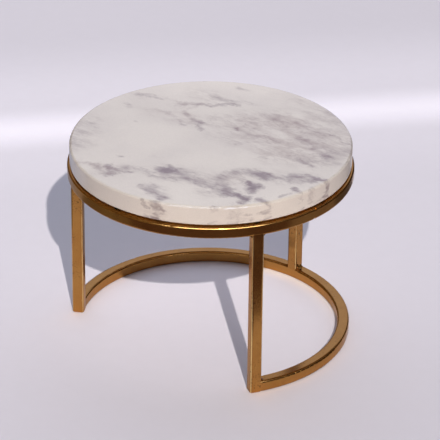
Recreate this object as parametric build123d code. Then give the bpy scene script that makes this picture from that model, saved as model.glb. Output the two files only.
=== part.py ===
from build123d import *
import math
import os

# Round side table: a marble disc on a welded frame of square bar.
# Origin at the floor, on the axis of the disc. +Z is up and the open side of the base faces -Y.
# Driving dimensions are in millimetres and degrees.

# Square bar that the whole frame is bent and cut from
bar_size = 12.7
bar_edge_radius = 2.5

# Ring under the disc
ring_outer_diameter = 305.0
ring_underside_height = 187.3

# Butt weld that closes the ring, ground back at its edges
seam_angle_from_right_leg = 26.0
seam_width = 4.0
seam_grind_depth = 1.0

# Legs
back_leg_angle = 90.0
leg_spacing_angle = 120.0
foot_edge_chamfer = 0.8

# Welds: fillet beads in the corners beside each leg, and fillings ground just below the bar's faces
bead_size = 3.0
bead_hollow = 0.5
weld_grind_depth = 0.05

# Marble disc
disc_setback = 2.5
disc_thickness = 20.5
disc_top_edge_radius = 2.5
disc_bottom_edge_radius = 0.7

# Clear pads that carry the disc on the ring
pad_count = 6
pad_thickness = 2.5
pad_margin = 0.4
pad_edge_radius = 0.3

# Sizes worked out from the driving dimensions
full_turn = 360.0
half_bar = bar_size / 2
bar_flat_width = bar_size - 2 * bar_edge_radius

ring_outer_radius = ring_outer_diameter / 2
ring_centre_radius = ring_outer_radius - half_bar
ring_centre_height = ring_underside_height + half_bar
ring_top_height = ring_underside_height + bar_size
ring_flat_inner_radius = ring_centre_radius - bar_flat_width / 2

# The outer corners of a leg lie on the ring's outer circle
leg_centre_radius = math.sqrt(ring_outer_radius**2 - half_bar**2) - half_bar
right_leg_angle = back_leg_angle - leg_spacing_angle
left_leg_angle = back_leg_angle + leg_spacing_angle

seam_span_angle = math.degrees(seam_width / ring_centre_radius)
seam_start_angle = right_leg_angle + seam_angle_from_right_leg - seam_span_angle / 2
seam_end_angle = seam_start_angle + seam_span_angle

disc_radius = ring_outer_radius - disc_setback
disc_underside_height = ring_top_height + pad_thickness
disc_flat_outer_radius = disc_radius - disc_bottom_edge_radius

pad_seat_width = disc_flat_outer_radius - ring_flat_inner_radius
pad_radius = pad_seat_width / 2 - pad_margin
pad_circle_radius = ring_flat_inner_radius + pad_seat_width / 2


def at_angle(angle, piece):
    """Turn a piece made on the +X axis to its place round the table."""
    return Rot(0, 0, angle) * piece


def curved_bar(centre_height, start_angle, span_angle, edge_radius):
    """Bar bent round the table's axis."""
    place = Plane.XZ * Pos(ring_centre_radius, centre_height)
    section = place * RectangleRounded(bar_size, bar_size, edge_radius)
    return at_angle(start_angle, revolve(section, Axis.Z, span_angle))


def upright_bar(low, high):
    """Straight bar that stands on the +X axis between two heights."""
    section = Pos(leg_centre_radius, 0, low) * RectangleRounded(bar_size, bar_size, bar_edge_radius)
    return extrude(section, amount=high - low, dir=(0, 0, 1))


def corner_bead(side, corner_height, direction):
    """Fillet weld beside a leg on the +X axis, on one side of it, above or below a flat face."""
    wall = side * half_bar
    toe = (wall + side * bead_size, corner_height)
    root = (wall, corner_height)
    crest = (wall, corner_height + direction * bead_size)
    lean = bead_size / 2 - bead_hollow / math.sqrt(2)
    middle = (wall + side * lean, corner_height + direction * lean)
    outline = Polyline(crest, root, toe) + ThreePointArc(toe, middle, crest)
    place = Plane.YZ.offset(leg_centre_radius - bar_flat_width / 2)
    return extrude(place * make_face(outline), amount=bar_flat_width, dir=(1, 0, 0))


def end_leg(arc_side):
    """Leg from floor to ring, with weld metal in its rounded corners where the base arc meets it."""
    bar = upright_bar(0, ring_underside_height)
    bar = chamfer(bar.faces().sort_by(Axis.Z)[0].edges(), foot_edge_chamfer)
    fill_size = bar_size - 2 * weld_grind_depth
    place = Plane(origin=(leg_centre_radius, 0, half_bar), x_dir=(1, 0, 0), z_dir=(0, arc_side, 0))
    return bar + extrude(place * RectangleRounded(fill_size, fill_size, bar_edge_radius), amount=half_bar)


def make_top_ring():
    """Ring, open at its seam, with weld metal under its rounded lower edges over each leg."""
    ring = curved_bar(ring_centre_height, seam_end_angle, full_turn - seam_span_angle, bar_edge_radius)
    fill = upright_bar(ring_underside_height + weld_grind_depth, ring_centre_height)
    for angle in (back_leg_angle, right_leg_angle, left_leg_angle):
        ring += at_angle(angle, fill)
    return ring


def make_base_arc():
    """Arc on the floor between the end legs, with weld metal on its rounded edges under the back leg."""
    arc = curved_bar(half_bar, right_leg_angle, left_leg_angle - right_leg_angle, bar_edge_radius)
    past_arc = 2 * bar_size
    leg_room = Pos(leg_centre_radius, 0, half_bar) * Box(past_arc, bar_size, past_arc)
    for angle in (right_leg_angle, left_leg_angle):
        arc -= at_angle(angle, leg_room)
    return arc + at_angle(back_leg_angle, upright_bar(half_bar, bar_size - weld_grind_depth))


def make_disc():
    """Marble disc with eased edges."""
    disc = Pos(0, 0, disc_underside_height) * Cylinder(
        disc_radius, disc_thickness, align=(Align.CENTER, Align.CENTER, Align.MIN)
    )
    rims = disc.edges().filter_by(GeomType.CIRCLE).sort_by(Axis.Z)
    disc = fillet(rims[-1], disc_top_edge_radius)
    rims = disc.edges().filter_by(GeomType.CIRCLE).sort_by(Axis.Z)
    return fillet(rims[0], disc_bottom_edge_radius)


def make_pad(angle):
    """Clear pad on the ring's flat top."""
    pad = Pos(pad_circle_radius, 0, ring_top_height) * Cylinder(
        pad_radius, pad_thickness, align=(Align.CENTER, Align.CENTER, Align.MIN)
    )
    pad = fillet(pad.edges().filter_by(GeomType.CIRCLE), pad_edge_radius)
    return at_angle(angle, pad)


def leg_beads(angle, sides, corner_height, direction):
    """Beads beside one leg, as a group of separate solids."""
    beads = [at_angle(angle, corner_bead(side, corner_height, direction)) for side in sides]
    return Compound(children=beads)


# Directions of a bead from its corner, and sides of a leg as seen from above
above = 1
below = -1
clockwise = -1
counter_clockwise = 1
both_sides = (clockwise, counter_clockwise)

# Each leg with its angle and the sides on which the base arc meets it
legs = {
    "back_leg": (back_leg_angle, both_sides),
    "right_leg": (right_leg_angle, (counter_clockwise,)),
    "left_leg": (left_leg_angle, (clockwise,)),
}

nodes = {
    "marble_top": make_disc(),
    "top_ring": make_top_ring(),
    "ring_seam_weld": curved_bar(
        ring_centre_height, seam_start_angle, seam_span_angle, bar_edge_radius + seam_grind_depth
    ),
    "base_arc": make_base_arc(),
    "back_leg": at_angle(back_leg_angle, upright_bar(bar_size, ring_underside_height)),
    "right_leg": at_angle(right_leg_angle, end_leg(counter_clockwise)),
    "left_leg": at_angle(left_leg_angle, end_leg(clockwise)),
}
for leg_name, (angle, arc_sides) in legs.items():
    nodes[f"{leg_name}_top_weld"] = leg_beads(angle, both_sides, ring_underside_height, below)
    nodes[f"{leg_name}_foot_weld"] = leg_beads(angle, arc_sides, bar_size, above)
for number in range(pad_count):
    nodes[f"top_pad_{number + 1}"] = make_pad(back_leg_angle + number * full_turn / pad_count)

os.makedirs("parts", exist_ok=True)
for name, shape in nodes.items():
    export_step(shape, f"parts/{name}.step")
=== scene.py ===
import math

import bmesh
import bpy
from mathutils import Matrix, Vector

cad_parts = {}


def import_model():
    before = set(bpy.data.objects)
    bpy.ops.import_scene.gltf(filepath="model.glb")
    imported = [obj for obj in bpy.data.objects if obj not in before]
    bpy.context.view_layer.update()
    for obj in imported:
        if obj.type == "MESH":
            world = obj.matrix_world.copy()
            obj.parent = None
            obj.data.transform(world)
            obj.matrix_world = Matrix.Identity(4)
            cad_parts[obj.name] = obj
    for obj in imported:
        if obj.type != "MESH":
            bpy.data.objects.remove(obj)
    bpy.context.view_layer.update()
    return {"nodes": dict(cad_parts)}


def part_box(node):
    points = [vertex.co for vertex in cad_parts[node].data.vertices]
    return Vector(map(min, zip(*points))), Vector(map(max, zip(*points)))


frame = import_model()

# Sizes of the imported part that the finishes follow, in metres
ring_low, ring_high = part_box("top_ring")
back_leg_low, back_leg_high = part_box("back_leg")
disc_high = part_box("marble_top")[1]
bar_size = ring_high.z - ring_low.z
bar_edge_radius = 0.0025
bar_flat_half = bar_size / 2 - bar_edge_radius
ring_centre_radius = ring_high.x - bar_size / 2
ring_centre_height = (ring_low.z + ring_high.z) / 2
arc_centre_height = bar_size / 2
arc_inner_radius = ring_centre_radius - bar_size / 2
leg_centre_radius = (back_leg_low.y + back_leg_high.y) / 2
disc_top = disc_high.z
disc_radius = disc_high.x

# The legs: their angles round the table, how light their brass is, how far their edges are rubbed
# bright, and the side on which weld metal fills a leg's foot
leg_angles = {"back_leg": 90.0, "right_leg": -30.0, "left_leg": 210.0}
leg_tones = {"back_leg": 0.86, "right_leg": 1.0, "left_leg": 1.0}
leg_wear = {"back_leg": 0.6, "right_leg": 0.9, "left_leg": 0.5}
leg_filled_sides = {"back_leg": 0, "right_leg": 1, "left_leg": -1}
arc_tone = 0.93

# Camera: it stands at this azimuth, on the right leg's side of the base's open front
camera_azimuth = math.radians(40.93)
camera_distance = 2.7479
camera_height = 1.5936
camera_yaw = 0.00382
camera_pitch = 0.48981
camera_roll = 0.01152
camera_lens = 237.41
camera_sensor = 36.0
camera_reach = 200.0

# Light
key_azimuth = math.radians(49.7)
key_elevation = math.radians(37.7)
key_strength = 2.85
key_colour = (1.0, 0.92, 0.85)
key_width = math.radians(0.6)
fill_colour = (0.835, 0.855, 0.975)
fill_strength = 1.38
fill_limits = (-0.2, 0.9, 0.045, 1.0)
backdrop_colour = (0.70, 0.77, 1.08)
softbox_azimuth = math.radians(42.5)
softbox_elevation = math.radians(46.75)
softbox_distance = 2.5
softbox_size = (3.1, 1.09)
softbox_radiance = 8.5
softbox_colour = (0.8, 1.0, 1.45)

# Looks
#
# A noise is given by its scale, its detail, its roughness and, if it has one, its distortion. Limits
# are the two values between which a ramp runs, and then what it gives at each, where that isn't nought
# and one.

# Floor
#
# Its colour is multiplied by a level of painted light and shade. That changes with the distance away
# from the camera, measured a little aslant: darker near, lighter further off with a painted glow band,
# and darker again far off. It changes with the distance to the right, darker on the right, and with
# the distance from the table's middle, painted brighter round the table. Each level, rise and fall has
# the two distances between which it runs, and what it gives at each.
floor_radius = 40.0
floor_steps = 96
floor_colour = (0.765, 0.75, 0.825)
floor_fibre_colour = (0.5, 0.48, 0.52)
floor_roughness = 0.85
floor_index = 1.3
fibre_noise = (60.0, 3.0, 0.55)
fibre_limits = (0.3, 0.7, 0.0, 0.03)
floor_slant = 0.157
painted_near_level = (-0.45, 0.30, 0.90, 1.0)
painted_far_rise = (0.30, 0.45, 0.0, 0.06)
painted_far_fall = (0.60, 0.79, 0.0, -0.14)
painted_glow_away = 0.508
painted_glow_rise = (0.0, 0.068, 0.30, 0.0)
painted_right_level = (-0.25, 0.30, 1.0, 0.965)
painted_middle_level = (0.10, 0.20, 1.07, 1.0)

# Painted glow in the floor beside the arc, standing in for sunlight that the arc's polished inner side
# throws there
painted_sun_glow_colour = (1.0, 0.76, 0.46, 1.0)
painted_sun_glow_rise = (arc_inner_radius - 0.018, arc_inner_radius + 0.002, 0.0, 0.25)
painted_sun_glow_fall = (arc_inner_radius, 0.146, 1.0, 0.0)
painted_sun_glow_right = (0.045, 0.060)

# Flags
#
# Studio flags of cloth, most of them dark, give the polished bars their dark sides. Only reflections see
# them. They are placed as seen from the camera: x to its right, y away from it. Some lie on the floor
# round the table, one hangs over it, and the walls stand round it.
flag_reach = 8.0
flag_lift = 0.001
front_gap = 0.27
left_gap = 0.33
left_length = 0.40
left_back_gap = 0.23
right_gap = 0.29
right_length = 0.36
ceiling_height = 2.5
ceiling_size = (6.0, 6.0)
right_wall_distance = 1.6
right_wall_height = 1.2
left_wall_distance = 0.8
left_wall_height = 0.95
wall_length = 4.5
wall_middle = 0.6
front_wall_distance = 3.0
front_wall_size = (6.0, 2.0)
weave_noise = (3.0, 2.0, 0.55)
weave_shade = 0.8
cloth_roughness = 0.9

front_flag_colour = (0.070, 0.020, 0.002)
left_flag_colour = (0.20, 0.18, 0.13)
left_back_flag_colour = (0.46, 0.50, 0.62)
right_flag_colour = (0.24, 0.227, 0.25)
right_back_flag_colour = (0.11, 0.10, 0.105)
ceiling_flag_colour = (0.31, 0.22, 0.10)
wall_colour = (0.12, 0.085, 0.045)
left_wall_colour = (0.36, 0.27, 0.13)

# Marble
#
# The veins are drawn in the stone's own plane, in millimetres from its middle. Its x axis runs to
# the right and its y axis away from someone who stands at the camera. Each vein is a line of points,
# and each point has the place, the half width and the strength of the vein there.
stone_turn = camera_azimuth
stone_scale = 1000.0
vein_fade = 2.0
vein_slice = 267.6

dark_veins = [
    # Band across the near half, from the left edge to the middle
    [
        (-140, -50, 6, 0.36),
        (-128, -54, 6, 0.36),
        (-118, -64, 5, 0.5),
        (-110, -76, 6, 0.7),
        (-104, -78, 6, 0.8),
    ],
    [
        (-101, -48, 2, 0.25),
        (-107, -62, 5, 0.75),
        (-104, -70, 5, 0.75),
        (-95, -72, 6, 0.65),
        (-86, -75, 5, 0.7),
    ],
    [
        (-92, -68, 6, 0.4),
        (-84, -62, 6, 0.4),
        (-72, -66, 6, 0.5),
        (-60, -71, 7, 0.7),
        (-48, -70, 9, 1.1),
        (-38, -70, 8, 1.0),
        (-30, -75, 7, 0.7),
    ],
    [(-43, -59, 4, 0.6), (-44, -67, 6, 1.05)],
    [
        (-60, -82, 6, 0.45),
        (-48, -86, 6, 0.5),
        (-34, -88, 6, 0.6),
        (-24, -87, 5, 0.65),
        (-18, -91, 6, 0.55),
        (-8, -98, 8, 0.55),
        (-2, -103, 8, 0.65),
    ],
    # Dark patch in the middle of the near half, down to the near edge
    [
        (2, -103, 8, 0.72),
        (10, -98, 8, 0.78),
        (16, -106, 8, 0.85),
        (14, -116, 7, 0.9),
        (22, -122, 6, 0.85),
    ],
    [(3, -110, 7, 0.7), (12, -122, 6, 0.7)],
    [(24, -122, 6, 0.9), (31, -126, 6, 1.05), (34, -132, 7, 1.2), (33, -138, 5, 0.9)],
    [(22, -144, 4, 0.5), (30, -145, 4, 0.5)],
    # Arch over the loop, and on to the right edge
    [
        (8, -92, 8, 0.6),
        (16, -79, 8, 0.55),
        (28, -71, 7, 0.65),
        (40, -70, 7, 0.85),
        (50, -77, 7, 0.95),
        (60, -82, 8, 1.1),
        (66, -86, 6, 0.9),
    ],
    [
        (66, -84, 5, 0.75),
        (78, -82, 6, 0.8),
        (88, -80, 6, 0.75),
        (100, -80, 5, 0.65),
        (108, -85, 5, 0.95),
        (115, -88, 4, 1.05),
        (124, -93, 3, 0.5),
    ],
    [(70, -92, 6, 0.35), (82, -88, 7, 0.65), (92, -90, 6, 0.5), (104, -92, 5, 0.6)],
    # Blotches inside the loop
    [(40, -95, 5, 1.0), (42, -101, 6, 1.1), (49, -103, 6, 1.05)],
    [(46, -104, 6, 1.05), (42, -109, 7, 1.15), (42, -115, 5, 0.95)],
    [(28, -80, 7, 0.5), (32, -92, 6, 0.5), (35, -98, 4, 0.6)],
    # Spots along the near edge, some of them on the side
    [(84, -107, 4, 0.9), (88, -113, 4, 0.75), (91, -118, 3, 0.6)],
    [(106, -106, 4, 0.5), (101, -110, 3, 0.5)],
    [(50, -132, 5, 0.9), (58, -136, 4, 0.75)],
    [(70, -126, 3, 0.6), (76, -121, 3, 0.6), (83, -117, 2, 0.55)],
    [
        (-70, -104, 6, 0.45),
        (-60, -106, 8, 0.6),
        (-62, -115, 8, 0.65),
        (-57, -121, 5, 0.5),
        (-49, -132, 6, 0.85),
    ],
    [(-53, -142, 4, 1.0), (-59, -140, 4, 1.0)],
    [(-84, -132, 4, 0.6), (-76, -136, 4, 0.9), (-68, -139, 4, 0.95)],
    [(3, -149, 3, 0.5), (8, -150, 3, 0.45)],
    # Single spots on the calm side
    [(-95, -38, 4, 0.6), (-93, -38, 3, 0.6)],
    [(-62, -35, 6, 0.32), (-53, -38, 5, 0.26)],
    [(-130, 49, 7, 0.42), (-128, 44, 5, 0.36)],
    [(-149, 14, 7, 0.4), (-146, -10, 7, 0.42)],
    [(-81, 46, 3, 0.36), (-79, 45, 2, 0.3)],
    # Thin veins in the far half
    [
        (-80, 113, 5, 0.4),
        (-70, 110, 5, 0.6),
        (-60, 107, 5, 0.65),
        (-50, 103, 4, 0.55),
        (-40, 98, 4, 0.35),
        (-34, 91, 5, 0.5),
    ],
    [(-37, 89, 5, 0.6), (-30, 87, 6, 0.7), (-24, 90, 4, 0.45), (-17, 91, 4, 0.55), (-12, 90, 4, 0.7)],
    [(-12, 90, 4, 0.7), (0, 87, 3, 0.6), (12, 88, 4, 0.7), (18, 90, 4, 0.65), (29, 87, 4, 0.6)],
    [(-14, 86, 4, 0.4), (-22, 80, 4, 0.45), (-27, 74, 4, 0.5), (-28, 66, 4, 0.5), (-23, 57, 4, 0.45)],
    [(-23, 57, 4, 0.45), (-17, 50, 5, 0.5), (-12, 44, 4, 0.7), (-12, 36, 4, 0.7), (-11, 28, 4, 0.55)],
    [(-58, 78, 6, 0.35), (-50, 70, 5, 0.4), (-42, 60, 4, 0.42), (-34, 50, 4, 0.4), (-29, 40, 5, 0.5)],
    [(-94, 90, 5, 0.35), (-88, 81, 6, 0.45)],
    [(2, 104, 8, 0.4), (12, 98, 7, 0.42), (22, 100, 4, 0.4), (30, 99, 4, 0.42), (44, 90, 4, 0.45)],
    [(32, 132, 6, 0.4), (40, 126, 5, 0.35)],
    # Spots and short lines in the cloud on the right
    [(70, 53, 6, 0.55), (74, 49, 5, 0.55)],
    [(91, 46, 5, 0.48), (98, 38, 5, 0.42), (106, 29, 5, 0.45), (112, 21, 4, 0.4)],
    [(44, 52, 4, 0.55), (48, 44, 4, 0.5)],
    [(27, 33, 4, 0.62), (28, 26, 3, 0.5)],
    [(44, 29, 4, 0.6), (47, 26, 4, 0.5)],
    [(42, 15, 6, 0.5), (50, 11, 5, 0.65), (60, 12, 6, 0.45), (64, 6, 4, 0.55), (70, -2, 4, 0.52)],
    [(96, 15, 5, 0.42), (92, 8, 6, 0.5), (98, 2, 6, 0.72), (102, 8, 5, 0.5)],
    [(98, -4, 5, 0.6), (107, -7, 4, 0.5), (109, -14, 5, 0.7), (117, -15, 4, 0.6)],
    [(118, -28, 5, 0.65), (122, -36, 6, 0.85), (122, -43, 5, 0.6), (110, -44, 4, 0.5)],
    [(78, -36, 3, 0.42), (90, -42, 4, 0.58), (98, -50, 4, 0.68), (105, -55, 4, 0.68)],
    [(50, -36, 4, 0.58), (57, -41, 4, 0.55)],
    [(128, 17, 2, 0.6), (134, 9, 2, 0.7), (140, -1, 2, 0.65), (150, -7, 2, 0.5)],
    [(26, -6, 4, 0.42), (36, -4, 4, 0.42), (46, -2, 5, 0.45)],
]

smoke = [
    # Around the veins of the near half
    [
        (-112, -68, 16, 0.3),
        (-70, -70, 15, 0.3),
        (-40, -74, 18, 0.46),
        (-10, -88, 16, 0.42),
        (12, -92, 16, 0.48),
    ],
    [(-4, -112, 14, 0.36), (12, -110, 14, 0.44)],
    [(24, -82, 13, 0.44), (44, -74, 12, 0.4), (62, -82, 13, 0.42), (100, -86, 14, 0.4)],
    [(-62, -110, 15, 0.32), (-50, -130, 13, 0.34)],
    # The cloud on the right
    [
        (6, 46, 20, 0.36),
        (30, 42, 24, 0.44),
        (50, 48, 22, 0.48),
        (70, 50, 22, 0.54),
        (92, 40, 24, 0.54),
        (112, 24, 24, 0.5),
        (134, 2, 22, 0.46),
    ],
    [(12, 20, 18, 0.32), (30, 4, 18, 0.38), (48, 8, 22, 0.5), (64, 0, 26, 0.46), (76, -16, 26, 0.4)],
    [(64, -30, 20, 0.38), (90, -32, 22, 0.48), (112, -38, 22, 0.58)],
    [(96, 4, 24, 0.52), (114, -14, 22, 0.52), (126, -34, 20, 0.6), (144, -20, 18, 0.5)],
    # Faint haze in the far half and along the left edge
    [(-84, 106, 14, 0.2), (-56, 92, 16, 0.14), (-34, 74, 18, 0.18), (-18, 46, 16, 0.3)],
    [(-66, 76, 18, 0.2), (-38, 52, 16, 0.24)],
    [(-18, 118, 16, 0.26), (0, 106, 18, 0.30), (20, 96, 14, 0.30)],
    [(40, 72, 22, 0.22), (70, 70, 18, 0.26)],
    [(70, 118, 26, 0.18), (104, 94, 26, 0.26), (130, 66, 26, 0.33), (140, 40, 24, 0.34)],
    [(-136, 40, 22, 0.33), (-142, -6, 20, 0.37)],
]

pink_tint = [
    [(-30, 90, 26, 0.8), (-26, 66, 22, 0.8), (-60, 72, 24, 0.6)],
    [(48, 30, 40, 0.7), (80, 36, 40, 0.8), (66, -14, 36, 0.75), (126, 10, 26, 0.5)],
    [(-134, -54, 20, 0.9), (-110, -70, 16, 0.5)],
    [(24, -86, 14, 0.5), (20, -80, 12, 0.4)],
]

# How far the veins curl, fray at their edges, and slope on their way down the side, in millimetres
curl_size = 14.0
curl_noise = (0.075, 3.0, 0.6)
fray_size = 5.0
fray_noise = (0.25, 3.0, 0.6)
slope_stretch = (0.02, 0.02, 0.11)
slope_noise = (1.0, 2.0, 0.55)
slope_limits = (0.0, 16.0, 0.0, 40.0)

# Noise that is drawn out into streaks breaks up the veins and the haze. The gates say how strong these
# have to be before it shows.
streak_turn = math.radians(32.0)
streak_stretch = (0.45, 1.15, 1.0)
blot_noise = (0.075, 6.0, 0.62)
grit_noise = (0.26, 5.0, 0.6)
ridge_noise = (0.055, 4.0, 0.6)
vein_blots = 1.2
vein_grit = 0.4
vein_gate = (0.03, 0.45)
vein_limits = (0.14, 1.25)
haze_blots = 1.3
haze_grit = 0.5
haze_gate = (0.03, 0.3)
haze_limits = (0.0, 0.95, 0.0, 0.62)
thread_gate = (0.12, 0.5, 0.0, 0.26)
thread_limits = (0.0, 0.03, 1.0, 0.0)

# Colours of the stone. The white gets paler towards the far and the near edge.
stone_white = (0.722, 0.676, 0.612)
stone_grey = (0.676, 0.630, 0.576)
vein_violet = (0.245, 0.187, 0.196)
vein_pink = (0.275, 0.188, 0.175)
haze_violet = (0.250, 0.190, 0.188)
haze_pink = (0.275, 0.172, 0.145)
# Side tint: warmer and darker, partly the honed finish and partly painted shade
side_tint = (0.95, 0.92, 0.905)
sawn_tint = (0.93, 0.91, 0.88)
drift_noise = (0.017, 4.0, 0.5)
drift_limits = (0.33, 0.67)
fleck_noise = (0.9, 3.0, 0.6)
fleck_limits = (0.3, 0.75, 1.03, 0.96)
far_paleness = (70.0, 135.0, 1.0, 1.09)
near_paleness = (-120.0, -70.0, 0.045, 0.0)

# Which faces count as the side and as the sawn underside, by how far they face up, and how much of the
# veins' strength the side keeps
side_limits = (0.2, 0.8, 1.0, 0.0)
sawn_limits = (-0.9, -0.5, 1.0, 0.0)
side_vein_share = 0.8

# Polish and relief: waves, saw lines, and small chips along the upper edge. Heights and distances are in
# millimetres.
polish_noise = (0.3, 5.0, 0.55)
polish_limits = (0.3, 0.7, 0.16, 0.24)
sawn_roughness = 0.4
wave_noise = (0.06, 4.0, 0.55)
wave_height = 0.06
saw_stretch = (0.02, 1.1, 1.0)
saw_noise = (1.0, 2.0, 0.55)
saw_height = 0.25
chip_noise = (0.8, 3.0, 0.55)
chip_limits = (0.5, 0.68)
chip_height = -0.5
chip_start = 2.6
chip_end = 1.0
stone_relief = 0.8
stone_relief_unit = 0.001
stone_index = 1.5

# Antique brass under clear lacquer
brass_deep = (0.460, 0.207, 0.043)
brass_pale = (0.520, 0.250, 0.056)
stroke_colour = (0.36, 0.135, 0.010)
stain_colour = (0.24, 0.080, 0.012)
rubbed_colour = (1.0, 0.76, 0.34)
nick_colour = (0.75, 0.46, 0.14)
pit_colour = (0.07, 0.030, 0.008)
# Painted shade on the ring's top in the gap under the stone
painted_gap_shade_colour = (0.42, 0.175, 0.010)
lacquer = {
    "Metallic": 1.0,
    "Specular Tint": (0.65, 0.57, 0.48, 1.0),
    "Coat Weight": 0.35,
    "Coat Roughness": 0.18,
    "Coat IOR": 1.5,
}

# Noise in the brass, where it shows and how much of each colour it gives
brush_stretch = (60.0, 1500.0, 1500.0)
brush_noise = (1.0, 3.0, 0.6)
brush_limits = (0.25, 0.75, 0.0, 0.14)
cloud_noise = (38.0, 5.0, 0.6)
cloud_limits = (0.3, 0.7)
stain_noise = (55.0, 4.0, 0.65, 0.6)
stain_limits = (0.58, 0.76)
stain_share = 0.45
pit_noise = (520.0, 3.0, 0.6)
patch_noise = (24.0, 2.0, 0.55)
pit_share = 0.75
nick_noise = (160.0, 4.0, 0.55)
nick_limits = (0.58, 0.72)
rub_noise = (90.0, 3.0, 0.55)
rub_limits = (0.3, 0.6, 0.45, 1.0)
edge_tarnish_and_shade_share = 0.35

# Roughness and relief of the brass
polish_clouds = (0.25, 0.75, 0.15, 0.20)
polish_strokes = (0.2, 0.8, -0.01, 0.01)
stain_roughness = 0.10
covered_roughness = 0.10
stroke_height = 0.04
pit_height = -0.8
brass_relief = 0.22
brass_relief_unit = 0.0002

# What differs between the curved bars and the upright ones
# The start of each rounded edge is darker, partly as tarnish and partly as painted shade
edge_tarnish_and_shade_colours = {"curved": (0.36, 0.150, 0.020), "upright": (0.40, 0.165, 0.025)}
nick_amounts = {"curved": 0.25, "upright": 0.6}
ripples = {"curved": 0.12, "upright": 0.25}
pit_limits = {"curved": (0.59, 0.69), "upright": (0.55, 0.65)}
pit_patches = {"curved": (0.50, 0.64), "upright": (0.45, 0.58)}

# Where a bar's rounded edges and the crowns on them are, from the middle of a face, in metres
edge_limits = (bar_flat_half - 0.0006, bar_flat_half + 0.0010)
crown_start = (bar_flat_half + 0.0010, bar_flat_half + 0.0016)
crown_end = (bar_flat_half + 0.0018, bar_flat_half + 0.0021, 1.0, 0.0)

# Where weld metal fills a leg's foot, and where the stone covers the ring's top, in metres
fill_side_limits = (0.0, 0.001)
fill_top_limits = (bar_size - 0.0005, bar_size + 0.0015, 1.0, 0.0)
cover_rim = 0.0003
cover_limits = (bar_size / 2 - 0.0006, bar_size / 2 - 0.0002)

# Weld metal
weld_pale = (0.50, 0.24, 0.055)
weld_brown = (0.22, 0.085, 0.014)
weld_soot = (0.10, 0.040, 0.008)
weld_crest = (0.62, 0.33, 0.08)
lump_noise = (420.0, 3.0, 0.5)
soot_noise = (900.0, 3.0, 0.55)
soot_limits = (0.42, 0.62)
crest_polish = (0.0, 1.0, 0.34, 0.18)
weld_relief = 0.6
weld_relief_unit = 0.0012
# Crests of a paler weld with more bright crests as a painted glint, of plain weld, and of a darker weld
# with fewer crests as painted shade in a hollow
painted_glint_crests = (0.36, 0.50)
painted_glint_heat = 0.25
middling_crests = (0.50, 0.62)
painted_shade_crests = (0.70, 0.85)

# Clear pads
pad_clear = (0.93, 0.93, 0.91)
pad_hazed = (0.86, 0.86, 0.82)
pad_noise = (900.0, 3.0, 0.55)
pad_polish = (0.3, 0.7, 0.10, 0.22)
pad_index = 1.46


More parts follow.
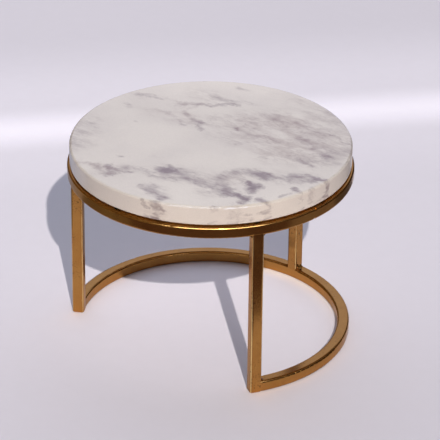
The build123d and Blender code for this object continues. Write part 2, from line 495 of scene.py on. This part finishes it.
class Graph:
    """Adds nodes to one node tree. An input is given as a number, a colour or another node's output."""

    def __init__(self, tree):
        self.tree = tree
        tree.nodes.clear()

    def add(self, kind, inputs=None, **settings):
        """A node with its settings, and with its inputs set or linked, by name or by number."""
        node = self.tree.nodes.new(kind)
        for name, value in settings.items():
            setattr(node, name, value)
        for key, value in (inputs or {}).items():
            if isinstance(value, bpy.types.NodeSocket):
                self.tree.links.new(value, node.inputs[key])
            else:
                node.inputs[key].default_value = value
        return node

    def place(self):
        """The place on the object, in its own frame."""
        return self.add("ShaderNodeTexCoord").outputs["Object"]

    def split(self, vector):
        """The three numbers of a vector."""
        return self.add("ShaderNodeSeparateXYZ", {0: vector}).outputs

    def joined(self, x, y, z):
        """A vector from three numbers."""
        return self.add("ShaderNodeCombineXYZ", {0: x, 1: y, 2: z}).outputs[0]

    def turned(self, vector, angle):
        """A vector turned about the upright axis."""
        inputs = {"Vector": vector, "Angle": angle}
        return self.add("ShaderNodeVectorRotate", inputs, rotation_type="Z_AXIS").outputs[0]

    def math(self, operation, *values, clamp=False):
        """A number worked out from other numbers."""
        inputs = dict(enumerate(values))
        return self.add("ShaderNodeMath", inputs, operation=operation, use_clamp=clamp).outputs[0]

    def product(self, first, *others):
        """Numbers multiplied together."""
        for other in others:
            first = self.math("MULTIPLY", first, other)
        return first

    def total(self, first, *others):
        """Numbers added up."""
        for other in others:
            first = self.math("ADD", first, other)
        return first

    def rest(self, share):
        """What a share leaves of one."""
        return self.math("SUBTRACT", 1.0, share)

    def vector(self, operation, *values):
        """A vector worked out from other vectors."""
        return self.add("ShaderNodeVectorMath", dict(enumerate(values)), operation=operation).outputs[0]

    def measure(self, operation, *values):
        """A number worked out from vectors."""
        inputs = dict(enumerate(values))
        return self.add("ShaderNodeVectorMath", inputs, operation=operation).outputs["Value"]

    def scaled(self, vector, factor):
        """A vector times a number."""
        inputs = {0: vector, "Scale": factor}
        return self.add("ShaderNodeVectorMath", inputs, operation="SCALE").outputs[0]

    def noise_node(self, vector, scale, detail, roughness, distortion=0.0):
        """A node of fractal noise."""
        inputs = {
            "Vector": vector,
            "Scale": scale,
            "Detail": detail,
            "Roughness": roughness,
            "Distortion": distortion,
        }
        return self.add("ShaderNodeTexNoise", inputs)

    def noise(self, vector, scale, detail, roughness, distortion=0.0):
        """Fractal noise between nought and one."""
        return self.noise_node(vector, scale, detail, roughness, distortion).outputs[0]

    def wave(self, vector, scale, detail, roughness):
        """Fractal noise about nought."""
        return self.math("SUBTRACT", self.noise(vector, scale, detail, roughness), 0.5)

    def swirl(self, vector, scale, detail, roughness):
        """Fractal noise about nought, as a vector."""
        colour = self.noise_node(vector, scale, detail, roughness).outputs[1]
        return self.vector("SUBTRACT", colour, (0.5, 0.5, 0.5))

    def ramp(self, value, low, high, to_low=0.0, to_high=1.0):
        """A number eased from one range to another."""
        inputs = {"Value": value, 1: low, 2: high, 3: to_low, 4: to_high}
        return self.add("ShaderNodeMapRange", inputs, interpolation_type="SMOOTHSTEP").outputs[0]

    def mix(self, factor, first, second, blend="MIX"):
        """Two colours mixed."""
        node = self.add("ShaderNodeMix", data_type="RGBA", blend_type=blend)
        for key, value in ((0, factor), (6, first), (7, second)):
            if isinstance(value, bpy.types.NodeSocket):
                self.tree.links.new(value, node.inputs[key])
            elif key == 0:
                node.inputs[key].default_value = value
            else:
                node.inputs[key].default_value = (*value, 1.0)
        return node.outputs[2]

    def bump(self, height, strength, distance):
        """A normal from a height."""
        inputs = {"Height": height, "Strength": strength, "Distance": distance}
        return self.add("ShaderNodeBump", inputs).outputs[0]

    def surface(self, inputs):
        """The material's shader, with the values that are the same all over set on its own sockets."""
        shader = self.add("ShaderNodeBsdfPrincipled", inputs)
        self.add("ShaderNodeOutputMaterial", {"Surface": shader.outputs[0]})


def new_material(name):
    """An empty node material and its graph."""
    material = bpy.data.materials.new(name)
    material.use_nodes = True
    return material, Graph(material.node_tree)


def vein_segment_group():
    """Node group that draws one straight piece of a vein.

    A drawing is a vector: its x and y are the place in the stone's plane, and its z is the strength
    of the strongest vein so far. Each piece takes the drawing from the piece before it.
    """
    group = bpy.data.node_groups.new("vein_segment", "ShaderNodeTree")
    sockets = {
        "Drawing": "NodeSocketVector",
        "From": "NodeSocketVector",
        "To": "NodeSocketVector",
        "Width From": "NodeSocketFloat",
        "Width To": "NodeSocketFloat",
        "Strength From": "NodeSocketFloat",
        "Strength To": "NodeSocketFloat",
    }
    for name, kind in sockets.items():
        group.interface.new_socket(name, in_out="INPUT", socket_type=kind)
    group.interface.new_socket("Drawing", in_out="OUTPUT", socket_type="NodeSocketVector")
    graph = Graph(group)
    given = graph.add("NodeGroupInput").outputs
    drawing = graph.split(given["Drawing"])
    place = graph.vector("MULTIPLY", given["Drawing"], (1.0, 1.0, 0.0))
    run = graph.vector("SUBTRACT", given["To"], given["From"])
    reach = graph.vector("SUBTRACT", place, given["From"])
    along = graph.measure("DOT_PRODUCT", reach, run)
    share = graph.math("DIVIDE", along, graph.measure("DOT_PRODUCT", run, run), clamp=True)
    distance = graph.measure("DISTANCE", reach, graph.scaled(run, share))
    width = graph.ramp(share, 0.0, 1.0, given["Width From"], given["Width To"])
    strength = graph.ramp(share, 0.0, 1.0, given["Strength From"], given["Strength To"])
    fade = graph.ramp(graph.math("DIVIDE", distance, width), 0.0, vein_fade, 1.0, 0.0)
    strongest = graph.math("MAXIMUM", drawing[2], graph.product(fade, strength))
    graph.add("NodeGroupOutput", {"Drawing": graph.joined(drawing[0], drawing[1], strongest)})
    return group


def drawn(graph, group, drawing, veins):
    """How strong the veins are at each place of an empty drawing."""
    for vein in veins:
        for start, end in zip(vein, vein[1:]):
            inputs = {
                "Drawing": drawing,
                "From": (start[0], start[1], 0.0),
                "To": (end[0], end[1], 0.0),
                "Width From": start[2],
                "Width To": end[2],
                "Strength From": start[3],
                "Strength To": end[3],
            }
            drawing = graph.add("ShaderNodeGroup", inputs, node_tree=group).outputs[0]
    return graph.split(drawing)[2]


def wandering(graph, stone, layered, depth):
    """An empty drawing whose places are shifted, so that veins drawn on it curl, fray and slope."""
    slope = graph.swirl(graph.vector("MULTIPLY", stone, slope_stretch), *slope_noise)
    slope = graph.scaled(slope, graph.ramp(depth, *slope_limits))
    curl = graph.scaled(graph.swirl(layered, *curl_noise), curl_size)
    fray = graph.scaled(graph.swirl(layered, *fray_noise), fray_size)
    shifted = graph.vector("ADD", stone, slope)
    shifted = graph.vector("ADD", shifted, curl)
    shifted = graph.vector("ADD", shifted, fray)
    return graph.vector("MULTIPLY", shifted, (1.0, 1.0, 0.0))


def shades(graph, layered, veins, haze):
    """How dark the veins and the haze make each place, with streaks, grit and fine threads in them."""
    streaky = graph.vector("MULTIPLY", graph.turned(layered, streak_turn), streak_stretch)
    blot = graph.wave(streaky, *blot_noise)
    grit = graph.wave(streaky, *grit_noise)
    ridge = graph.wave(streaky, *ridge_noise)
    in_veins = graph.total(graph.product(blot, vein_blots), graph.product(grit, vein_grit))
    vein_sum = graph.total(veins, graph.product(graph.ramp(veins, *vein_gate), in_veins))
    in_haze = graph.total(graph.product(blot, haze_blots), graph.product(grit, haze_grit))
    haze_sum = graph.total(haze, graph.product(graph.ramp(haze, *haze_gate), in_haze))
    thread = graph.ramp(graph.math("ABSOLUTE", ridge), *thread_limits)
    thread = graph.product(thread, graph.ramp(graph.math("MAXIMUM", veins, haze), *thread_gate))
    clear = graph.product(graph.rest(graph.ramp(vein_sum, *vein_limits)), graph.rest(thread))
    return graph.rest(clear), graph.ramp(haze_sum, *haze_limits)


def marble():
    """White marble with violet-grey veins, polished on its top and side and sawn underneath."""
    material, graph = new_material("white_veined_marble")
    stone = graph.scaled(graph.turned(graph.place(), -stone_turn), stone_scale)
    spread = graph.split(stone)
    depth = graph.math("SUBTRACT", stone_scale * disc_top, spread[2])
    layered = graph.vector("ADD", stone, (0.0, 0.0, vein_slice))

    group = vein_segment_group()
    drawing = wandering(graph, stone, layered, depth)
    veins = drawn(graph, group, drawing, dark_veins)
    haze = drawn(graph, group, drawing, smoke)
    pink = drawn(graph, group, drawing, pink_tint)
    dark, dim = shades(graph, layered, veins, haze)

    rise = graph.split(graph.add("ShaderNodeNewGeometry").outputs["True Normal"])[2]
    upright = graph.ramp(graph.math("ABSOLUTE", rise), *side_limits)
    on_side = graph.ramp(upright, 0.0, 1.0, 1.0, side_vein_share)
    sawn = graph.ramp(rise, *sawn_limits)

    drift = graph.noise(layered, *drift_noise)
    fleck = graph.noise(layered, *fleck_noise)
    white = graph.mix(graph.ramp(drift, *drift_limits), stone_white, stone_grey)
    white = graph.scaled(white, graph.ramp(fleck, *fleck_limits))
    pale = graph.total(graph.ramp(spread[1], *far_paleness), graph.ramp(spread[1], *near_paleness))
    white = graph.scaled(white, pale)
    colour = graph.mix(graph.product(dim, on_side), white, graph.mix(pink, haze_violet, haze_pink))
    colour = graph.mix(graph.product(dark, on_side), colour, graph.mix(pink, vein_violet, vein_pink))
    # The side is tinted warmer and darker, partly for its honed finish and partly as painted shade
    colour = graph.mix(upright, colour, side_tint, "MULTIPLY")
    colour = graph.mix(sawn, colour, sawn_tint, "MULTIPLY")

    rough = graph.ramp(graph.noise(stone, *polish_noise), *polish_limits)
    rough = graph.total(rough, graph.product(sawn, sawn_roughness))
    wavy = graph.product(graph.noise(stone, *wave_noise), wave_height)
    saw_lines = graph.noise(graph.vector("MULTIPLY", stone, saw_stretch), *saw_noise)
    saw_lines = graph.product(saw_lines, sawn, saw_height)
    radius = graph.measure("LENGTH", graph.vector("MULTIPLY", stone, (1.0, 1.0, 0.0)))
    rim = stone_scale * disc_radius
    edge = graph.product(
        graph.ramp(radius, rim - chip_start, rim - chip_end),
        graph.ramp(depth, chip_end, chip_start, 1.0, 0.0),
    )
    chips = graph.ramp(graph.noise(stone, *chip_noise), *chip_limits)
    chips = graph.product(chips, edge, chip_height)
    height = graph.total(wavy, saw_lines, chips)
    graph.surface(
        {
            "Base Color": colour,
            "Roughness": rough,
            "Normal": graph.bump(height, stone_relief, stone_relief_unit),
            "IOR": stone_index,
        }
    )
    return material


def brass(name, section, centre, tone=1.0, covered_radius=None, wear=0.0, filled_side=0):
    """Brushed antique brass on a bar, with darker stains, pits and nicks.

    The centre is a curved bar's height or an upright bar's angle. Inside the covered radius the top of
    a curved bar is under the stone, where it is painted darker as shade in the gap and made duller.
    Wear rubs the crowns of the edges bright. On the filled side of a leg's foot, weld metal takes the
    place of the rounded edges.
    """
    material, graph = new_material(name)
    place = graph.place()
    if section == "curved":
        parts = graph.split(place)
        radius = graph.measure("LENGTH", graph.vector("MULTIPLY", place, (1.0, 1.0, 0.0)))
        along = graph.product(graph.math("ARCTAN2", parts[1], parts[0]), ring_centre_radius)
        across = graph.math("SUBTRACT", radius, ring_centre_radius)
        aside = graph.math("SUBTRACT", parts[2], centre)
    else:
        parts = graph.split(graph.turned(place, -math.radians(centre)))
        along = parts[2]
        across = graph.math("SUBTRACT", parts[0], leg_centre_radius)
        aside = parts[1]
    inner = graph.math("MINIMUM", graph.math("ABSOLUTE", across), graph.math("ABSOLUTE", aside))
    edge = graph.ramp(inner, *edge_limits)
    crown = graph.product(graph.ramp(inner, *crown_start), graph.ramp(inner, *crown_end))
    if filled_side:
        filled = graph.product(
            graph.ramp(graph.product(aside, filled_side), *fill_side_limits),
            graph.ramp(along, *fill_top_limits),
        )
        bare = graph.rest(filled)
        edge = graph.product(edge, bare)
        crown = graph.product(crown, bare)

    strokes = graph.vector("MULTIPLY", graph.joined(along, across, aside), brush_stretch)
    brushed = graph.noise(strokes, *brush_noise)
    cloudy = graph.noise(place, *cloud_noise)
    stain = graph.ramp(graph.noise(place, *stain_noise), *stain_limits)
    pit = graph.product(
        graph.ramp(graph.noise(place, *pit_noise), *pit_limits[section]),
        graph.ramp(graph.noise(place, *patch_noise), *pit_patches[section]),
    )
    nicked = graph.product(edge, graph.ramp(graph.noise(place, *nick_noise), *nick_limits))
    rubbed = graph.ramp(graph.noise(place, *rub_noise), *rub_limits)
    rubbed = graph.product(rubbed, crown, wear)

    colour = graph.mix(graph.ramp(cloudy, *cloud_limits), brass_deep, brass_pale)
    colour = graph.mix(graph.ramp(brushed, *brush_limits), colour, stroke_colour)
    colour = graph.mix(graph.product(stain, stain_share), colour, stain_colour)
    # Rounded edges darkened, partly as tarnish and partly as painted shade
    colour = graph.mix(graph.product(edge, edge_tarnish_and_shade_share), colour, edge_tarnish_and_shade_colours[section])
    colour = graph.mix(rubbed, colour, rubbed_colour)
    colour = graph.mix(graph.product(nicked, nick_amounts[section]), colour, nick_colour)
    colour = graph.mix(graph.product(pit, pit_share), colour, pit_colour)
    colour = graph.scaled(colour, tone)

    rough = graph.ramp(cloudy, *polish_clouds)
    if covered_radius:
        covered = graph.product(
            graph.ramp(radius, covered_radius - cover_rim, covered_radius + cover_rim, 1.0, 0.0),
            graph.ramp(aside, *cover_limits),
        )
        # The ring's top under the stone is painted darker as shade in the gap, and made duller
        colour = graph.mix(covered, colour, painted_gap_shade_colour)
        rough = graph.total(rough, graph.product(covered, covered_roughness))
    rough = graph.total(rough, graph.ramp(brushed, *polish_strokes))
    rough = graph.total(rough, graph.product(stain, stain_roughness))
    height = graph.total(
        graph.product(brushed, stroke_height),
        graph.product(pit, pit_height),
        graph.product(cloudy, ripples[section]),
    )
    graph.surface(
        {
            "Base Color": colour,
            "Roughness": rough,
            "Normal": graph.bump(height, brass_relief, brass_relief_unit),
            **lacquer,
        }
    )
    return material


def weld_brass(name, crest_limits, heat=1.0):
    """Lumpy weld metal with bright crests. Heat is the share of its brown and sooty colours."""
    material, graph = new_material(name)
    place = graph.place()
    lumps = graph.noise(place, *lump_noise)
    soot = graph.ramp(graph.noise(place, *soot_noise), *soot_limits)
    crest = graph.ramp(lumps, *crest_limits)
    colour = graph.mix(heat, weld_pale, graph.mix(soot, weld_brown, weld_soot))
    colour = graph.mix(crest, colour, weld_crest)
    graph.surface(
        {
            "Base Color": colour,
            "Roughness": graph.ramp(crest, *crest_polish),
            "Normal": graph.bump(lumps, weld_relief, weld_relief_unit),
            **lacquer,
        }
    )
    return material


def clear_pad():
    """Soft clear plastic, slightly hazed."""
    material, graph = new_material("clear_soft_pad")
    haze = graph.noise(graph.place(), *pad_noise)
    graph.surface(
        {
            "Base Color": graph.mix(haze, pad_hazed, pad_clear),
            "Roughness": graph.ramp(haze, *pad_polish),
            "IOR": pad_index,
            "Transmission Weight": 1.0,
        }
    )
    return material


def dress(node_name, material):
    """Gives a CAD node its finish."""
    slots = frame["nodes"][node_name].data.materials
    slots.clear()
    slots.append(material)


ring_brass = brass("antique_brass_ring", "curved", ring_centre_height, covered_radius=disc_radius)
# The back foot's weld is paler as a painted glint; the right foot's weld is darker as painted shade in
# the hollow of its joint
painted_glint_weld = weld_brass("antique_brass_weld_painted_glint", painted_glint_crests, painted_glint_heat)
middling_weld = weld_brass("antique_brass_weld", middling_crests)
painted_shade_weld = weld_brass("antique_brass_weld_painted_shade", painted_shade_crests)
foot_welds = {"back_leg": painted_glint_weld, "right_leg": painted_shade_weld, "left_leg": middling_weld}
pad_material = clear_pad()

dress("marble_top", marble())
dress("top_ring", ring_brass)
dress("ring_seam_weld", ring_brass)
dress("base_arc", brass("antique_brass_arc", "curved", arc_centre_height, arc_tone))
for leg, angle in leg_angles.items():
    leg_brass = brass(
        f"antique_brass_{leg}",
        "upright",
        angle,
        leg_tones[leg],
        wear=leg_wear[leg],
        filled_side=leg_filled_sides[leg],
    )
    dress(leg, leg_brass)
    dress(f"{leg}_top_weld", middling_weld)
    dress(f"{leg}_foot_weld", foot_welds[leg])
for node_name in frame["nodes"]:
    if node_name.startswith("top_pad_"):
        dress(node_name, pad_material)


def floor_material():
    """Pale paper with painted light and shade in its level and a painted glow beside the arc, seen
    through from below.
    """
    material, graph = new_material("pale_floor")
    place = graph.place()
    parts = graph.split(graph.turned(place, -camera_azimuth))
    away = graph.math("SUBTRACT", parts[1], graph.product(parts[0], floor_slant))
    from_painted_glow = graph.math("ABSOLUTE", graph.math("SUBTRACT", away, painted_glow_away))
    from_middle = graph.measure("LENGTH", place)
    # The level paints light and shade into the floor's colour
    level = graph.total(
        graph.ramp(away, *painted_near_level),
        graph.ramp(away, *painted_far_rise),
        graph.ramp(away, *painted_far_fall),
        graph.ramp(from_painted_glow, *painted_glow_rise),
    )
    level = graph.product(
        level, graph.ramp(parts[0], *painted_right_level), graph.ramp(from_middle, *painted_middle_level)
    )
    colour = graph.scaled(floor_colour, level)
    fibres = graph.ramp(graph.noise(place, *fibre_noise), *fibre_limits)
    colour = graph.mix(fibres, colour, floor_fibre_colour)
    # Painted glow: the floor's emission stands in for sunlight thrown from the arc's inner side
    painted_sun_glow = graph.product(
        graph.ramp(from_middle, *painted_sun_glow_rise),
        graph.math("DIVIDE", parts[1], from_middle, clamp=True),
        graph.ramp(parts[0], *painted_sun_glow_right),
        graph.ramp(from_middle, *painted_sun_glow_fall),
    )
    shader = graph.add(
        "ShaderNodeBsdfPrincipled",
        {
            "Base Color": colour,
            "Roughness": floor_roughness,
            "IOR": floor_index,
            "Emission Color": painted_sun_glow_colour,
            "Emission Strength": painted_sun_glow,
        },
    )
    clear = graph.add("ShaderNodeBsdfTransparent")
    below = graph.add("ShaderNodeNewGeometry").outputs["Backfacing"]
    seen = graph.add("ShaderNodeMixShader", {0: below, 1: shader.outputs[0], 2: clear.outputs[0]})
    graph.add("ShaderNodeOutputMaterial", {"Surface": seen.outputs[0]})
    return material


def stage_sheet(name, shape, material):
    """An object from a bmesh, which isn't part of the table."""
    mesh = bpy.data.meshes.new(name)
    shape.to_mesh(mesh)
    shape.free()
    mesh.materials.append(material)
    sheet = bpy.data.objects.new(name, mesh)
    bpy.context.scene.collection.objects.link(sheet)
    return sheet


floor_shape = bmesh.new()
bmesh.ops.create_circle(floor_shape, cap_ends=True, segments=floor_steps, radius=floor_radius)
stage_sheet("floor", floor_shape, floor_material())


def flag(name, middle, size, colour, hinge=None):
    """One flag. It lies flat, or stands up when it is turned about the axis named as its hinge."""
    material, graph = new_material(name)
    weave = graph.noise(graph.place(), *weave_noise)
    shade = tuple(weave_shade * value for value in colour)
    graph.surface({"Base Color": graph.mix(weave, colour, shade), "Roughness": cloth_roughness})

    shape = bmesh.new()
    bmesh.ops.create_grid(shape, x_segments=1, y_segments=1, size=0.5)
    bmesh.ops.scale(shape, vec=(*size, 1.0), verts=shape.verts)
    if hinge:
        upright = Matrix.Rotation(math.pi / 2, 3, hinge)
        bmesh.ops.rotate(shape, cent=(0, 0, 0), matrix=upright, verts=shape.verts)
    bmesh.ops.translate(shape, vec=middle, verts=shape.verts)
    to_camera = Matrix.Rotation(camera_azimuth, 3, "Z")
    bmesh.ops.rotate(shape, cent=(0, 0, 0), matrix=to_camera, verts=shape.verts)
    sheet = stage_sheet(name, shape, material)
    sheet.visible_camera = False
    sheet.visible_diffuse = False
    sheet.visible_shadow = False
    sheet.visible_transmission = False


def floor_flag(name, x_range, y_range, colour):
    """A flag that lies on the floor between these limits."""
    middle = (sum(x_range) / 2, sum(y_range) / 2, flag_lift)
    flag(name, middle, (x_range[1] - x_range[0], y_range[1] - y_range[0]), colour)


front_end = -front_gap
left_end = front_end + left_length
right_end = front_end + right_length
front_span = (-flag_reach, flag_reach)
left_span = (-left_gap - flag_reach, -left_gap)
left_back_span = (-left_back_gap - flag_reach, -left_back_gap)
right_span = (right_gap, right_gap + flag_reach)
floor_flag("front_flag", front_span, (front_end - flag_reach, front_end), front_flag_colour)
floor_flag("left_flag", left_span, (front_end, left_end), left_flag_colour)
floor_flag("left_back_flag", left_back_span, (left_end, left_end + flag_reach), left_back_flag_colour)
floor_flag("right_flag", right_span, (front_end, right_end), right_flag_colour)
floor_flag("right_back_flag", right_span, (right_end, right_end + flag_reach), right_back_flag_colour)
flag("ceiling_flag", (0.0, 0.0, ceiling_height), ceiling_size, ceiling_flag_colour)
right_wall_place = (right_wall_distance, wall_middle, right_wall_height / 2)
flag("right_wall", right_wall_place, (right_wall_height, wall_length), wall_colour, "Y")
left_wall_place = (-left_wall_distance, wall_middle, left_wall_height / 2)
flag("left_wall", left_wall_place, (left_wall_height, wall_length), left_wall_colour, "Y")
front_wall_place = (0.0, -front_wall_distance, front_wall_size[1] / 2)
flag("front_wall", front_wall_place, front_wall_size, wall_colour, "X")


def world():
    """Pale surroundings for the camera and for reflections, and a soft fill for everything else."""
    made = bpy.data.worlds.new("studio")
    made.use_nodes = True
    graph = Graph(made.node_tree)
    path = graph.add("ShaderNodeLightPath").outputs
    shown = graph.total(path["Is Camera Ray"], path["Is Glossy Ray"])
    shown = graph.math("ADD", shown, path["Is Transmission Ray"], clamp=True)
    facing = graph.add("ShaderNodeTexCoord").outputs["Generated"]
    behind = (-math.sin(camera_azimuth), math.cos(camera_azimuth), 0.0)
    backward = graph.measure("DOT_PRODUCT", facing, behind)
    strength = graph.product(graph.ramp(backward, *fill_limits), fill_strength)
    fill = graph.add("ShaderNodeBackground", {"Color": (*fill_colour, 1.0), "Strength": strength})
    pale = graph.add("ShaderNodeBackground", {"Color": (*backdrop_colour, 1.0), "Strength": 1.0})
    both = graph.add("ShaderNodeMixShader", {0: shown, 1: fill.outputs[0], 2: pale.outputs[0]})
    graph.add("ShaderNodeOutputWorld", {"Surface": both.outputs[0]})
    return made


scene = bpy.context.scene
scene.world = world()
scene.view_settings.view_transform = "Standard"


def direction(azimuth, elevation):
    """Unit vector from the table towards a place, with azimuth 0 in front of the base's open side."""
    level = math.cos(elevation)
    return Vector((math.sin(azimuth) * level, -math.cos(azimuth) * level, math.sin(elevation)))


def lamp(data, towards):
    """A lamp that shines at the table from this direction."""
    made = bpy.data.objects.new(data.name, data)
    made.rotation_mode = "QUATERNION"
    made.rotation_quaternion = (-towards).to_track_quat("-Z", "Y")
    scene.collection.objects.link(made)
    return made


key_data = bpy.data.lights.new("key", "SUN")
key_data.energy = key_strength
key_data.color = key_colour
key_data.angle = key_width
lamp(key_data, direction(key_azimuth, key_elevation))

# A soft box near the key, which only shows in the polish of the brass and the stone
softbox_data = bpy.data.lights.new("softbox", "AREA")
softbox_data.shape = "RECTANGLE"
softbox_data.size, softbox_data.size_y = softbox_size
softbox_data.energy = softbox_radiance * math.pi * softbox_size[0] * softbox_size[1]
softbox_data.color = softbox_colour
softbox_direction = direction(softbox_azimuth, softbox_elevation)
softbox = lamp(softbox_data, softbox_direction)
softbox.location = softbox_distance * softbox_direction
softbox.visible_diffuse = False
softbox.visible_transmission = False

# Camera
camera_data = bpy.data.cameras.new("camera")
camera_data.lens = camera_lens
camera_data.sensor_width = camera_sensor
camera_data.clip_end = camera_reach
camera = bpy.data.objects.new("camera", camera_data)
ahead = Matrix.Rotation(camera_azimuth, 3, "Z") @ Vector(
    (
        math.sin(camera_yaw) * math.cos(camera_pitch),
        math.cos(camera_yaw) * math.cos(camera_pitch),
        -math.sin(camera_pitch),
    )
)
right = ahead.cross(Vector((0.0, 0.0, 1.0))).normalized()
up = right.cross(ahead)
rolled_right = math.cos(camera_roll) * right + math.sin(camera_roll) * up
rolled_up = math.cos(camera_roll) * up - math.sin(camera_roll) * right
facing = Matrix((rolled_right, rolled_up, -ahead)).transposed().to_4x4()
stand = Vector(
    (
        camera_distance * math.sin(camera_azimuth),
        -camera_distance * math.cos(camera_azimuth),
        camera_height,
    )
)
camera.matrix_world = Matrix.Translation(stand) @ facing
scene.collection.objects.link(camera)
scene.camera = camera
